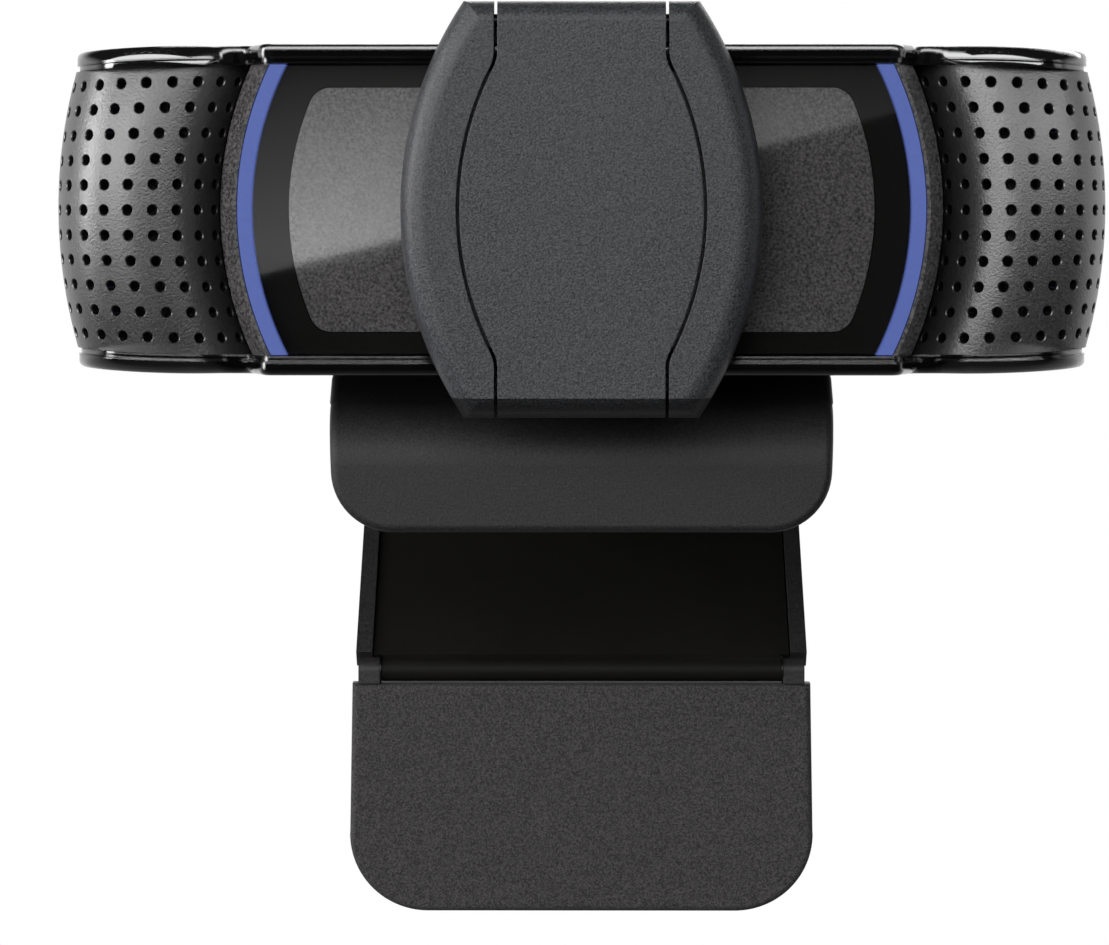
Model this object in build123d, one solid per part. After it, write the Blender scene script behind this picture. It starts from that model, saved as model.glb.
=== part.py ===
from build123d import *
import math
import os

# Bar webcam with a flip-up privacy shutter on a folding monitor clip. Millimetres and degrees.
# World frame: +X to the viewer's right, -Y towards the subject, +Z up, origin at the centre of the
# clip's seat face. Rest pose: clip hooked over a screen, head level, shutter closed.

# Camera head. Its own frame has y = 0 on the front glass, growing backwards, and z = 0 at mid height.
head_width = 94.0
head_height = 29.0
head_depth = 24.0
cover_thickness = 1.7
cover_overhang = 0.4
cover_edge_radius = 0.6
cover_skirt_height = 0.5
cover_skirt_inset = 0.2
cover_corner_radius = 1.4
end_drop = 0.63
shell_wall = 1.3
arch_axis_x = 1.0
arch_margin = 4.0
rear_arch_radius = 36.0

# Perforated end lobes
lobe_radius = 7.6
lobe_setback = 3.0
grille_start = -68.0
grille_end = 105.0
hole_diameter = 0.9
hole_sides = 8
hole_rows = 11
hole_row_pitch = 2.27
hole_columns = 10
hole_column_pitch = 16.8
hole_first_column = -62.0

# Raised centre block with its two light arcs
block_half = 30.55
wall_flare = 1.45
valley_depth = 4.8
valley_fillet = 1.0
frame_rim = 0.3
frame_depth = 9.4
frame_wall = 2.6
pipe_width = 1.3
pipe_depth = 3.4
pipe_tail_height = 3.0
fit_gap = 0.1
glass_thickness = 1.2
glass_half_height = 12.6
window_half = 25.8
window_half_height = 10.8
window_corner = 2.0
backing_thickness = 0.8
bulkhead_front = 3.9
bulkhead_thickness = 1.2

# Lens and focus drive, on the head's middle axis
lens_window_radius = 7.0
ring_chamfer = 0.3
hood_radius = 5.8
hood_mouth_radius = 5.2
hood_throat_radius = 3.4
hood_throat_y = 6.4
housing_front = 8.0
housing_size = 12.4
housing_wall = 0.6
barrel_radius = 3.0
barrel_front = 7.0
barrel_length = 5.2
barrel_bore_radius = 1.9
element_radius = 2.4
element_depth = 0.9
element_crown = 0.35
coil_thickness = 0.8
coil_front = 9.5
coil_length = 2.4
spring_thickness = 0.15
spring_gap = 0.15
magnet_length = 6.0
magnet_thickness = 0.8
sensor_width = 6.4
sensor_height = 5.6
sensor_thickness = 0.8
filter_thickness = 0.3
filter_margin = 0.4

# Boards, microphones and cable entry
board_front = 13.9
board_thickness = 1.2
board_width = 62.0
board_height = 20.0
post_radius = 1.7
post_x = 22.0
post_z = 8.0
screw_radius = 0.7
screw_head_radius = 1.4
screw_head_height = 0.9
screw_length = 5.0
led_size = 1.6
led_height = 0.8
chip_size = 10.0
chip_thickness = 1.2
chip_x = -14.0
header_width = 8.0
header_height = 4.0
header_depth = 3.6
header_x = 10.0
capsule_radius = 3.0
capsule_length = 2.4
capsule_gap = 1.9
boot_wall = 0.9
mic_post_radius = 2.0
gland_z = -5.0
gland_radius = 3.2
gland_bore_radius = 2.0
gland_flange = 0.9
gland_flange_thickness = 1.0

# Privacy shutter, in the head's frame
shutter_front = -4.0
shutter_clear = 0.05
shutter_half = 15.8
shutter_radius = 32.4
shutter_half_height = 18.1
shutter_side_round = 2.2
shutter_edge_round = 1.7
shutter_arm_thickness = 1.5
shutter_arm_reach = 8.0
shutter_arm_gap = 0.3
shutter_arm_corner = 3.0
flap_thickness = 1.4
flap_half = 10.6
flap_radius = 27.0
flap_tab_half = 7.3
flap_neck_round = 3.0
flap_side_gap = 0.3
flap_ledge = 0.9
flap_ledge_half_height = 12.0
flap_ledge_gap = 0.3
flap_lip = 1.4
flap_pin_radius = 0.6
flap_pin_cover = 0.8

# Clip
pad_thickness = 1.0
clip_thickness = 2.3
clip_bend_radius = 6.0
clip_edge_radius = 0.7
lip_front = -20.0
lip_bottom = -8.75
lip_width = 45.6
lip_bottom_width = 44.6
lip_corner_radius = 5.6
lip_pad_thickness = 0.8
lip_pad_margin = 2.6
lip_pad_corner = 1.2
clip_rear_width = 43.0
seat_margin = 0.4
seat_width = 38.0
seat_corner = 3.0

# Tilt hinge between clip and head
tilt_y = -11.5
tilt_rise = 0.1
tilt_drop = 2.25
tilt_barrel_radius = 2.0
tilt_pin_radius = 1.0
tilt_pin_hold = 3.4
tilt_knuckle_half = 9.0
tilt_side_gap = 0.8
tilt_washer_thickness = 0.4
tilt_ramp_sink = 0.12
tilt_slot_clear = 0.5
bracket_flange_half_depth = 3.4
bracket_flange_thickness = 0.8
bracket_neck_half = 1.5
bracket_screw_x = 6.0
glass_ahead_of_lip = 8.0

# Rear leg and foot
leg_axis_y = 39.5
leg_axis_z = -3.0
leg_angle = 48.4
leg_length = 30.6
leg_root_width = 43.2
leg_end_width = 44.4
leg_inner = 2.5
leg_outer = 3.6
leg_rail = 1.6
leg_recess = 1.0
leg_edge_radius = 1.2
leg_bevel = 3.4
leg_barrel_radius = 3.0
leg_knuckle_half = 11.7
leg_side_gap = 0.3
clip_knuckle_outer = 20.0
leg_pin_radius = 1.0
core_thickness = 0.6
core_margin = 0.15
foot_angle = 90.0
foot_length = 23.8
foot_top_width = 45.0
foot_bottom_width = 45.8
foot_corner_radius = 7.8
foot_thickness = 3.6
foot_land = 1.35
foot_bevel = 2.2
foot_pad_thickness = 1.2
foot_edge_radius = 0.5
foot_barrel_radius = 1.15
foot_knuckle_inner = 19.8
foot_knuckle_outer = 21.9
foot_side_gap = 0.15
foot_pin_radius = 0.5
foot_pin_inset = 0.4
insert_radius = 4.0
insert_length = 4.5
insert_bore_radius = 2.55
insert_place = 15.5

# Fits
pin_clearance = 0.05
seat_clearance = 0.03

# Cuts pass this far beyond a face; points this close count as one place.
past = 1.0
near = 0.01

# Derived places
core_half = head_height / 2 - cover_thickness
lobe_x = head_width / 2 - lobe_radius
lobe_y = lobe_setback + lobe_radius
pipe_outer = block_half - frame_rim
pipe_inner = pipe_outer - pipe_width
pipe_middle = (pipe_inner + pipe_outer) / 2
glass_half = pipe_inner - fit_gap
cavity_front = glass_thickness + fit_gap
board_back = board_front + board_thickness
plate_top = pad_thickness + clip_thickness
tilt_z = plate_top + tilt_rise
tilt_lug = tilt_knuckle_half + tilt_side_gap
glass_y = lip_front - glass_ahead_of_lip
head_z = tilt_z + tilt_drop + head_height / 2
tilt_head_y = tilt_y - glass_y
tilt_head_z = tilt_z - head_z
flap_axis_y = shutter_front + shutter_edge_round
flap_axis_z = shutter_half_height - shutter_edge_round
head_place = Location((0, glass_y, head_z))
leg_place = Location((0, leg_axis_y, leg_axis_z)) * Rotation(leg_angle, 0, 0)
foot_axis_rise = leg_inner - foot_barrel_radius
leg_cos = math.cos(math.radians(leg_angle))
leg_sin = math.sin(math.radians(leg_angle))
foot_axis_y = leg_axis_y - leg_length * leg_cos - foot_axis_rise * leg_sin
foot_axis_z = leg_axis_z - leg_length * leg_sin + foot_axis_rise * leg_cos
foot_top = foot_barrel_radius + foot_side_gap
seat_half = -lip_front - clip_bend_radius - seat_margin
foot_place = Location((0, foot_axis_y, foot_axis_z)) * Rotation(foot_angle, 0, 0)
far = 2 * head_width
arch_axis = Axis((arch_axis_x, 0, 0), (0, 1, 0))
arch_reach = math.degrees(math.asin(core_half / (pipe_inner - frame_wall - arch_axis_x))) + arch_margin


def outline(*points):
    return make_face(Polyline(*points, close=True))


def bowed(x, z):
    """Where an upright wall that is at x at mid height stands at height z."""
    return arch_axis_x + math.sqrt((x - arch_axis_x) ** 2 - z**2)


def bow(profile):
    """Right-hand wall: a plan profile swung about the arch axis."""
    return revolve(profile.rotate(arch_axis, -arch_reach), arch_axis, 2 * arch_reach)


def front_plate(shape, front, back):
    """A front-view outline (x, z) made solid between two depths."""
    return extrude(Plane((0, back, 0), (1, 0, 0), (0, -1, 0)) * shape, back - front)


def side_bar(shape, left, right):
    """A side-view outline (y, z) made solid between two x values."""
    return extrude(Plane((left, 0, 0), (0, 1, 0), (1, 0, 0)) * shape, right - left)


def rod(radius, left, right, y, z):
    return side_bar(Pos(y, z) * Circle(radius), left, right)


def arc_sided(half_width, half_height, radius):
    """Level top and bottom edges, sides bowed out along arcs."""
    edge = half_width - radius + math.sqrt(radius**2 - half_height**2)
    return make_face(
        [
            Line((-edge, half_height), (edge, half_height)),
            ThreePointArc((edge, half_height), (half_width, 0), (edge, -half_height)),
            Line((edge, -half_height), (-edge, -half_height)),
            ThreePointArc((-edge, -half_height), (-half_width, 0), (-edge, half_height)),
        ]
    )


def bowed_panel(half_width, half_height):
    return arc_sided(half_width, half_height, half_width - arch_axis_x)


def end_curve():
    """Radius of the arcs, tangent to the level middle, along which both covers fall towards the ends."""
    reach = head_width / 2 - block_half
    return (reach**2 + end_drop**2) / (2 * end_drop)


def end_fall(x):
    """How far a cover has fallen at the distance x from the middle."""
    beyond = max(0.0, x - block_half)
    return end_curve() - math.sqrt(end_curve() ** 2 - beyond**2)


def slab(half_height):
    """All that lies between the two covers, level in the middle and falling towards the ends."""
    end = head_width / 2 + lobe_radius
    half = (block_half + end) / 2
    low = half_height - end_fall(end)
    mid = half_height - end_fall(half)
    return front_plate(
        make_face(
            [
                Line((-block_half, half_height), (block_half, half_height)),
                ThreePointArc((block_half, half_height), (half, mid), (end, low)),
                Line((end, low), (end, -low)),
                ThreePointArc((end, -low), (half, -mid), (block_half, -half_height)),
                Line((block_half, -half_height), (-block_half, -half_height)),
                ThreePointArc((-block_half, -half_height), (-half, -mid), (-end, -low)),
                Line((-end, -low), (-end, low)),
                ThreePointArc((-end, low), (-half, mid), (-block_half, half_height)),
            ]
        ),
        -far,
        far,
    )


def both_sides(part):
    return mirror(part, about=Plane.YZ)


def rear_arc_radius(lobe_centre, radius, back):
    """Radius of the rear arc that touches both lobes from outside and reaches back in the middle."""
    rise = back - lobe_y
    return (lobe_centre**2 + rise**2 - radius**2) / (2 * (rise - radius))


def rear_region(lobe_centre, radius, back, front):
    big = rear_arc_radius(lobe_centre, radius, back)
    touch = lobe_centre * big / (big - radius)
    strip = Pos(0, (front + back + past) / 2) * Rectangle(2 * touch, back + past - front)
    return (Pos(0, back - big) * Circle(big)) & strip


def cover_outline(overhang):
    """Plan of a cover that stands out past the walls beneath it by the overhang."""
    corner = bowed(block_half, core_half) + overhang
    root = bowed(block_half + wall_flare, core_half) + overhang
    lobe = bowed(lobe_x, core_half)
    radius = lobe_radius + overhang
    rear_axis = head_depth - rear_arch_radius
    back = rear_axis + math.sqrt(rear_arch_radius**2 - core_half**2) + overhang
    block = outline(
        (-corner, -overhang), (corner, -overhang), (root, valley_depth), (root, lobe_y),
        (-root, lobe_y), (-root, valley_depth),
    )
    block = fillet(block.vertices().group_by(Axis.Y)[0], cover_corner_radius)
    web = Pos(0, (valley_depth + lobe_y) / 2) * Rectangle(2 * lobe, lobe_y - valley_depth)
    shape = block + web + rear_region(lobe, radius, back, lobe_y)
    shape = shape + Pos(lobe, lobe_y) * Circle(radius) + Pos(-lobe, lobe_y) * Circle(radius)
    valley = [v for v in shape.vertices() if abs(v.Y - valley_depth) < near and abs(v.X) > corner]
    return fillet(valley, valley_fillet)


def top_cover():
    """A moulded lid with a rounded rim, standing on a skirt that is set back to leave a shadow line."""
    split = core_half + cover_skirt_height
    lid = extrude(cover_outline(cover_overhang), head_height)
    lid = (lid & slab(head_height / 2)) - slab(split)
    upper = [f for f in lid.faces() if f.normal_at().Z > 0.9]
    inside = [e for e in lid.edges() if abs(abs(e.center().X) - block_half) < near]
    lid = fillet([e for f in upper for e in f.edges() if e not in inside], cover_edge_radius)
    skirt = extrude(cover_outline(cover_overhang - cover_skirt_inset), head_height)
    return lid + ((skirt & slab(split)) - slab(core_half))


def bottom_cover():
    body = mirror(top_cover(), about=Plane.XY)
    drill = Cylinder(screw_radius + fit_gap, 3 * cover_thickness)
    for x in (-bracket_screw_x, bracket_screw_x):
        body -= Pos(x, tilt_head_y, -head_height / 2) * drill
    return body


def lobe_sector(radius, wall):
    """Plan section of a lobe's wall; angles run from straight ahead round to the outside."""
    inner = radius - wall
    span = grille_end - grille_start
    ends = []
    for angle in (grille_start, grille_end):
        turn = math.radians(angle)
        ends.append([(lobe_x + r * math.sin(turn), lobe_y - r * math.cos(turn)) for r in (inner, radius)])
    return make_face(
        [
            CenterArc((lobe_x, lobe_y), radius, grille_start - 90, span),
            Line(ends[1][1], ends[1][0]),
            CenterArc((lobe_x, lobe_y), inner, grille_end - 90, -span),
            Line(ends[0][0], ends[0][1]),
        ]
    )


def grille_holes():
    """Faceted round holes square to the lobe's surface; the rows close up as the covers fall."""
    punch = extrude(RegularPolygon(hole_diameter / 2, hole_sides), 2 * shell_wall, both=True)
    holes = []
    for column in range(hole_columns):
        turn = math.radians(hole_first_column + column * hole_column_pitch)
        reach = lobe_x - arch_axis_x + lobe_radius * math.sin(turn)
        squeeze = 1 - end_fall(reach + arch_axis_x) / core_half
        for row in range(hole_rows):
            z = (row - (hole_rows - 1) / 2) * hole_row_pitch * squeeze
            lean = math.asin(z / reach)
            x = arch_axis_x + reach * math.cos(lean)
            y = lobe_y - lobe_radius * math.cos(turn)
            aim = (math.sin(turn) * math.cos(lean), -math.cos(turn), math.sin(turn) * math.sin(lean))
            upward = (-math.sin(lean), 0, math.cos(lean))
            holes.append(Plane((x, y, z), x_dir=upward, z_dir=aim) * punch)
    return holes


def mic_grille():
    shell = bow(lobe_sector(lobe_radius, shell_wall)) & slab(core_half)
    return shell - grille_holes()


def front_frame():
    outer = block_half + wall_flare
    inner = pipe_inner - frame_wall
    wall = bow(
        outline(
            (pipe_outer, 0), (block_half, 0), (outer, valley_depth), (outer, frame_depth),
            (inner, frame_depth), (inner, bulkhead_front), (pipe_outer, bulkhead_front),
        )
    )
    body = (wall + both_sides(wall)) & slab(core_half)
    bulkhead = bowed_panel(pipe_outer, core_half) - Circle(hood_radius + fit_gap)
    body += front_plate(bulkhead, bulkhead_front, bulkhead_front + bulkhead_thickness)
    for x in (-post_x, post_x):
        for z in (-post_z, post_z):
            body += front_plate(Pos(x, z) * Circle(post_radius), bulkhead_front, board_front)
            pilot = Pos(x, z) * Circle(screw_radius + seat_clearance)
            body -= front_plate(pilot, board_back - screw_length, board_front)
    tail = Rectangle(pipe_width + 4 * fit_gap, pipe_tail_height + 4 * fit_gap)
    for x in (-pipe_middle, pipe_middle):
        body -= front_plate(Pos(x, 0) * tail, bulkhead_front - past, frame_depth + past)
    return body


def light_pipe():
    outer = pipe_outer - fit_gap
    strip = bow(outline((pipe_inner, 0), (outer, 0), (outer, pipe_depth), (pipe_inner, pipe_depth)))
    strip = strip & slab(core_half - fit_gap)
    tail = Pos(pipe_middle, 0) * Rectangle(pipe_width - 2 * fit_gap, pipe_tail_height)
    return strip + front_plate(tail, pipe_depth - past, board_front - led_height - fit_gap)


def status_leds():
    chip = Pos(pipe_middle, 0) * Rectangle(led_size, led_size)
    chip = front_plate(chip, board_front - led_height, board_front)
    return [chip, both_sides(chip)]


def front_glass():
    return front_plate(bowed_panel(glass_half, glass_half_height), 0, glass_thickness)


def window_shape(inset):
    shape = bowed_panel(window_half - inset, window_half_height - inset)
    shape = fillet(shape.vertices(), window_corner)
    return shape - Circle(lens_window_radius)


def inner_bezel():
    plate = bowed_panel(glass_half, glass_half_height) - Circle(lens_window_radius)
    body = front_plate(plate, cavity_front, bulkhead_front)
    return body - front_plate(window_shape(0), cavity_front, cavity_front + backing_thickness)


def window_backing():
    return front_plate(window_shape(fit_gap), cavity_front, cavity_front + backing_thickness)


def lens_ring():
    outer = lens_window_radius - fit_gap
    inner = hood_radius + fit_gap
    profile = outline(
        (inner, cavity_front + ring_chamfer), (inner + ring_chamfer, cavity_front), (outer, cavity_front),
        (outer, bulkhead_front), (inner, bulkhead_front),
    )
    return revolve(profile, Axis.Y, 360)


def lens_hood():
    front = cavity_front + fit_gap
    profile = outline(
        (hood_mouth_radius, front), (hood_radius, front), (hood_radius, housing_front),
        (hood_throat_radius, housing_front), (hood_throat_radius, hood_throat_y),
    )
    return revolve(profile, Axis.Y, 360)


def focus_housing():
    cavity = housing_size - 2 * housing_wall
    block = front_plate(Rectangle(housing_size, housing_size), housing_front, board_front)
    block -= front_plate(Rectangle(cavity, cavity), housing_front + housing_wall, board_front)
    return block - front_plate(Circle(hood_throat_radius), housing_front, board_front)


def focus_magnets():
    inside = housing_size / 2 - housing_wall
    bar = Pos(0, inside - magnet_thickness / 2) * Rectangle(magnet_length, magnet_thickness)
    bars = []
    for quarter in range(4):
        bars.append(front_plate(Rot(0, 0, 90 * quarter) * bar, coil_front, coil_front + coil_length))
    return bars


def focus_spring():
    inside = housing_size - 2 * housing_wall
    leaf = Rectangle(inside - 2 * fit_gap, inside - 2 * fit_gap) - Circle(barrel_radius + spring_gap)
    front = housing_front + housing_wall
    return front_plate(leaf, front, front + spring_thickness)


def lens_barrel():
    """Threaded-in lens tube: a wide seat in front for the glass, a narrower bore behind it."""
    back = barrel_front + barrel_length
    seat = barrel_front + element_depth
    tube = front_plate(Circle(barrel_radius), barrel_front, back)
    tube -= front_plate(Circle(element_radius + seat_clearance), barrel_front - past, seat)
    return tube - front_plate(Circle(barrel_bore_radius), seat - past, back + past)


def lens_element():
    """A lens with a flat back and a front crowned to a sphere."""
    rim = barrel_front + fit_gap
    back = barrel_front + element_depth
    sphere = (element_radius**2 + element_crown**2) / (2 * element_crown)
    half = math.asin(element_radius / sphere) / 2
    middle = (sphere * math.sin(half), rim - element_crown + sphere * (1 - math.cos(half)))
    section = make_face(
        [
            ThreePointArc((0, rim - element_crown), middle, (element_radius, rim)),
            Line((element_radius, rim), (element_radius, back)),
            Line((element_radius, back), (0, back)),
            Line((0, back), (0, rim - element_crown)),
        ]
    )
    return revolve(section, Axis.Y, 360)


def focus_coil():
    inner = barrel_radius + seat_clearance
    return front_plate(Circle(inner + coil_thickness) - Circle(inner), coil_front, coil_front + coil_length)


def image_sensor():
    return front_plate(Rectangle(sensor_width, sensor_height), board_front - sensor_thickness, board_front)


def ir_filter():
    back = board_front - sensor_thickness
    pane = Rectangle(sensor_width - 2 * filter_margin, sensor_height - 2 * filter_margin)
    return front_plate(pane, back - filter_thickness, back)


def main_board():
    board = Rectangle(board_width, board_height)
    for x in (-post_x, post_x):
        for z in (-post_z, post_z):
            board -= Pos(x, z) * Circle(screw_radius + fit_gap)
    return front_plate(board, board_front, board_back)


def board_screws():
    screws = []
    for x in (-post_x, post_x):
        for z in (-post_z, post_z):
            tip = board_back - screw_length + fit_gap
            shank = front_plate(Pos(x, z) * Circle(screw_radius), tip, board_back)
            top = board_back + screw_head_height
            screws.append(shank + front_plate(Pos(x, z) * Circle(screw_head_radius), board_back, top))
    return screws


def image_processor():
    chip = Pos(chip_x, 0) * Rectangle(chip_size, chip_size)
    return front_plate(chip, board_back, board_back + chip_thickness)


def cable_header():
    body = Pos(header_x, gland_z) * Rectangle(header_width, header_height)
    return front_plate(body, board_back, board_back + header_depth)


def mic_front():
    return lobe_setback + shell_wall + capsule_gap


def mic_capsule():
    front = mic_front()
    return front_plate(Pos(lobe_x, 0) * Circle(capsule_radius), front, front + capsule_length)


def mic_boot():
    front = mic_front()
    inner = capsule_radius + seat_clearance
    back = front + capsule_length + boot_wall
    cup = front_plate(Pos(lobe_x, 0) * Circle(inner + boot_wall), front, back)
    return cup - front_plate(Pos(lobe_x, 0) * Circle(inner), front, front + capsule_length)


def rear_solid(inset):
    """The head's rounded rear: two lobes joined by a panel that is arched both ways."""
    radius = lobe_radius - inset
    lobe = bow(Pos(lobe_x, lobe_y) * Circle(radius))
    region = rear_region(lobe_x, radius, head_depth - inset, lobe_y - 2 * inset)
    axis = Axis((0, head_depth - rear_arch_radius, 0), (1, 0, 0))
    nearest = lobe_y - 2 * shell_wall - head_depth + rear_arch_radius
    reach = math.degrees(math.asin(core_half / nearest)) + arch_margin
    panel = revolve(region.rotate(axis, -reach), axis, 2 * reach)
    return panel + lobe + both_sides(lobe)


def grille_sector():
    """Plan region that belongs to a grille: all round the lobe's front up to the joint at its outer end."""
    turn = math.radians(grille_end)
    reach = 2 * lobe_radius
    return outline(
        (lobe_x, lobe_y), (lobe_x + reach * math.sin(turn), lobe_y - reach * math.cos(turn)),
        (lobe_x + reach, lobe_y - reach), (lobe_x - lobe_radius, lobe_y - reach),
        (lobe_x - lobe_radius, lobe_y),
    )


def rear_cover():
    half = (rear_solid(0) - rear_solid(shell_wall)) & slab(core_half)
    half = half & front_plate(Pos(far / 2, 0) * Rectangle(far, far), lobe_y, far)
    half = half - bow(grille_sector())
    seat = mic_front() + capsule_length + boot_wall
    back = lobe_setback + 2 * lobe_radius - shell_wall / 2
    half = half + front_plate(Pos(lobe_x, 0) * Circle(mic_post_radius), seat, back)
    body = half + both_sides(half)
    face = gland_face()
    hole = Pos(0, gland_z) * Circle(gland_radius + seat_clearance)
    pocket = Pos(0, gland_z) * Circle(gland_radius + gland_flange + fit_gap)
    body -= front_plate(hole, board_back, head_depth + past)
    return body - front_plate(pocket, face, head_depth + past)


def gland_face():
    """Depth of the flat pocket that the cable gland's flange lies in."""
    axis = head_depth - rear_arch_radius
    low = abs(gland_z) + gland_radius + gland_flange
    return axis + math.sqrt(rear_arch_radius**2 - low**2) - fit_gap


def cable_gland():
    face = gland_face()
    plug = front_plate(Pos(0, gland_z) * Circle(gland_radius), face - 2 * shell_wall, face)
    flange = Pos(0, gland_z) * Circle(gland_radius + gland_flange)
    flange = front_plate(flange, face, face + gland_flange_thickness)
    bore = front_plate(Pos(0, gland_z) * Circle(gland_bore_radius), face - far, face + far)
    return plug + flange - bore


def shutter_slab():
    """Side-view envelope of the shutter with its rounded top and bottom edges."""
    back = -cover_overhang - shutter_clear
    depth = back - shutter_front
    shape = Pos((shutter_front + back) / 2, 0) * Rectangle(depth, 2 * shutter_half_height)
    front_corners = shape.vertices().group_by(Axis.X)[0]
    return fillet(front_corners, shutter_edge_round)


def flap_shape(grow):
    """Front-view outline of the flap: an arc-sided middle that necks into straight tabs above and below."""
    tab = flap_tab_half + grow
    radius = flap_radius + grow
    neck = math.sqrt(radius**2 - (tab + radius - flap_half - grow) ** 2)
    shape = arc_sided(flap_half + grow, neck + grow + past, radius)
    shape = shape + Rectangle(2 * tab, 2 * shutter_half_height)
    corners = [v for v in shape.vertices() if abs(abs(v.Y) - neck) < near]
    return fillet(corners, flap_neck_round)


def shutter_end_half():
    """Half width of the shutter along its top and bottom edges."""
    return shutter_half - shutter_radius + math.sqrt(shutter_radius**2 - shutter_half_height**2)


def shutter_frame():
    back = -cover_overhang - shutter_clear
    plate = front_plate(arc_sided(shutter_half, shutter_half_height, shutter_radius), shutter_front, back)
    rim = plate.edges().filter_by(GeomType.CIRCLE).group_by(Axis.Y)[0]
    plate = fillet(rim, shutter_side_round)
    plate = plate & side_bar(shutter_slab(), -far, far)
    ledge = flap_shape(flap_side_gap) - Rectangle(far, 2 * flap_ledge_half_height)
    ledge += arc_sided(flap_half - flap_ledge, flap_ledge_half_height, flap_radius)
    step = shutter_front + flap_thickness + flap_ledge_gap
    plate -= front_plate(flap_shape(flap_side_gap), shutter_front - past, step)
    plate -= front_plate(ledge, step, back + past)
    arm_half = shutter_end_half()
    low = head_height / 2 + shutter_clear
    high = low + shutter_arm_thickness
    behind = flap_axis_y + shutter_edge_round + shutter_arm_gap
    arm = Rectangle(2 * arm_half, shutter_arm_reach - behind)
    arm = Pos(0, (behind + shutter_arm_reach) / 2) * arm
    arm = fillet(arm.vertices().group_by(Axis.Y)[-1], shutter_arm_corner)
    tie_front = shutter_front + shutter_edge_round
    tie_back = behind + past
    tie = Rectangle(arm_half - flap_tab_half - flap_side_gap, tie_back - tie_front)
    tie = Pos(0, (tie_front + tie_back) / 2) * tie
    middle = (arm_half + flap_tab_half + flap_side_gap) / 2
    arm = arm + Pos(middle, 0) * tie + Pos(-middle, 0) * tie
    top = extrude(Pos(0, 0, low) * arm, high - low)
    body = plate + top + mirror(top, about=Plane.XY)
    bore = flap_pin_radius + seat_clearance
    reach = arm_half - flap_pin_cover
    return body - rod(bore, -reach, reach, flap_axis_y, flap_axis_z)


def shutter_pin():
    reach = shutter_end_half() - flap_pin_cover - fit_gap
    return rod(flap_pin_radius, -reach, reach, flap_axis_y, flap_axis_z)


def shutter_flap():
    plate = front_plate(flap_shape(0), shutter_front, shutter_front + flap_thickness)
    plate = plate & side_bar(Rectangle(far, 2 * flap_axis_z), -far, far)
    lip_back = -cover_overhang - shutter_clear - flap_ledge_gap
    low = -shutter_half_height
    high = low + flap_lip
    lip = outline((shutter_front, low), (lip_back, low), (lip_back, high), (shutter_front, high))
    plate = plate + side_bar(lip, -flap_tab_half, flap_tab_half)
    drop = Pos(0, -flap_axis_z) * Rectangle(2 * flap_tab_half, 2 * shutter_edge_round)
    drop = front_plate(drop, shutter_front, shutter_front + flap_thickness)
    plate = (plate + drop) & side_bar(shutter_slab(), -far, far)
    body = plate + rod(shutter_edge_round, -flap_tab_half, flap_tab_half, flap_axis_y, flap_axis_z)
    return body - rod(flap_pin_radius + pin_clearance, -far, far, flap_axis_y, flap_axis_z)


def tilt_bracket():
    half = tilt_knuckle_half
    under = -head_height / 2
    neck = Rectangle(2 * bracket_neck_half, under - tilt_head_z)
    neck = Pos(tilt_head_y, (under + tilt_head_z) / 2) * neck
    flange = Rectangle(2 * bracket_flange_half_depth, bracket_flange_thickness)
    flange = Pos(tilt_head_y, under - bracket_flange_thickness / 2) * flange
    body = rod(tilt_barrel_radius, -half, half, tilt_head_y, tilt_head_z)
    body = body + side_bar(neck + flange, -half, half)
    body -= rod(tilt_pin_radius + pin_clearance, -half - past, half + past, tilt_head_y, tilt_head_z)
    drill = Cylinder(screw_radius + seat_clearance, 2 * bracket_flange_thickness)
    for x in (-bracket_screw_x, bracket_screw_x):
        body -= Pos(x, tilt_head_y, under) * drill
    return body


def bracket_screws():
    screws = []
    inside = -core_half
    foot = -head_height / 2 - bracket_flange_thickness + fit_gap
    for x in (-bracket_screw_x, bracket_screw_x):
        shank = Pos(x, tilt_head_y, (foot + inside) / 2) * Cylinder(screw_radius, inside - foot)
        head = Cylinder(screw_head_radius, screw_head_height)
        screws.append(shank + Pos(x, tilt_head_y, inside + screw_head_height / 2) * head)
    return screws


def tilt_shoulder():
    """Hinge lug on one side: the barrel, with a ramp running down into the bend of the lip."""
    bend_y = lip_front + clip_bend_radius
    bend_z = plate_top - clip_bend_radius
    bend = clip_bend_radius - tilt_ramp_sink
    apart = math.hypot(tilt_y - bend_y, tilt_z - bend_z)
    lean = math.atan2(tilt_z - bend_z, tilt_y - bend_y)
    lean += math.acos((bend - tilt_barrel_radius) / apart)
    low = plate_top - clip_thickness / 2
    ramp = outline(
        (bend_y + bend * math.cos(lean), bend_z + bend * math.sin(lean)),
        (tilt_y + tilt_barrel_radius * math.cos(lean), tilt_z + tilt_barrel_radius * math.sin(lean)),
        (tilt_y, tilt_z), (tilt_y, low), (bend_y, low),
    )
    section = ramp + Pos(tilt_y, tilt_z) * Circle(tilt_barrel_radius)
    body = side_bar(section, tilt_lug, lip_width / 2)
    end_edges = [e for e in body.edges().group_by(Axis.X)[-1] if e.center().Z > plate_top - clip_thickness / 2]
    return fillet(end_edges, clip_edge_radius)


def on_clip_skin(edge):
    """Whether an edge bounds the clip's outer skin: lip front, bend or top, not the fold lines across."""
    skin = []
    for point in (edge.position_at(0), edge.position_at(0.5), edge.position_at(1)):
        bend = math.hypot(point.Y - lip_front - clip_bend_radius, point.Z - plate_top + clip_bend_radius)
        flat = abs(point.Y - lip_front) < near or abs(point.Z - plate_top) < near
        skin.append(flat or abs(bend - clip_bend_radius) < near)
    across = edge.bounding_box().size.X > lip_corner_radius + past and edge.center().Z > lip_bottom + near
    return all(skin) and not across


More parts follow.
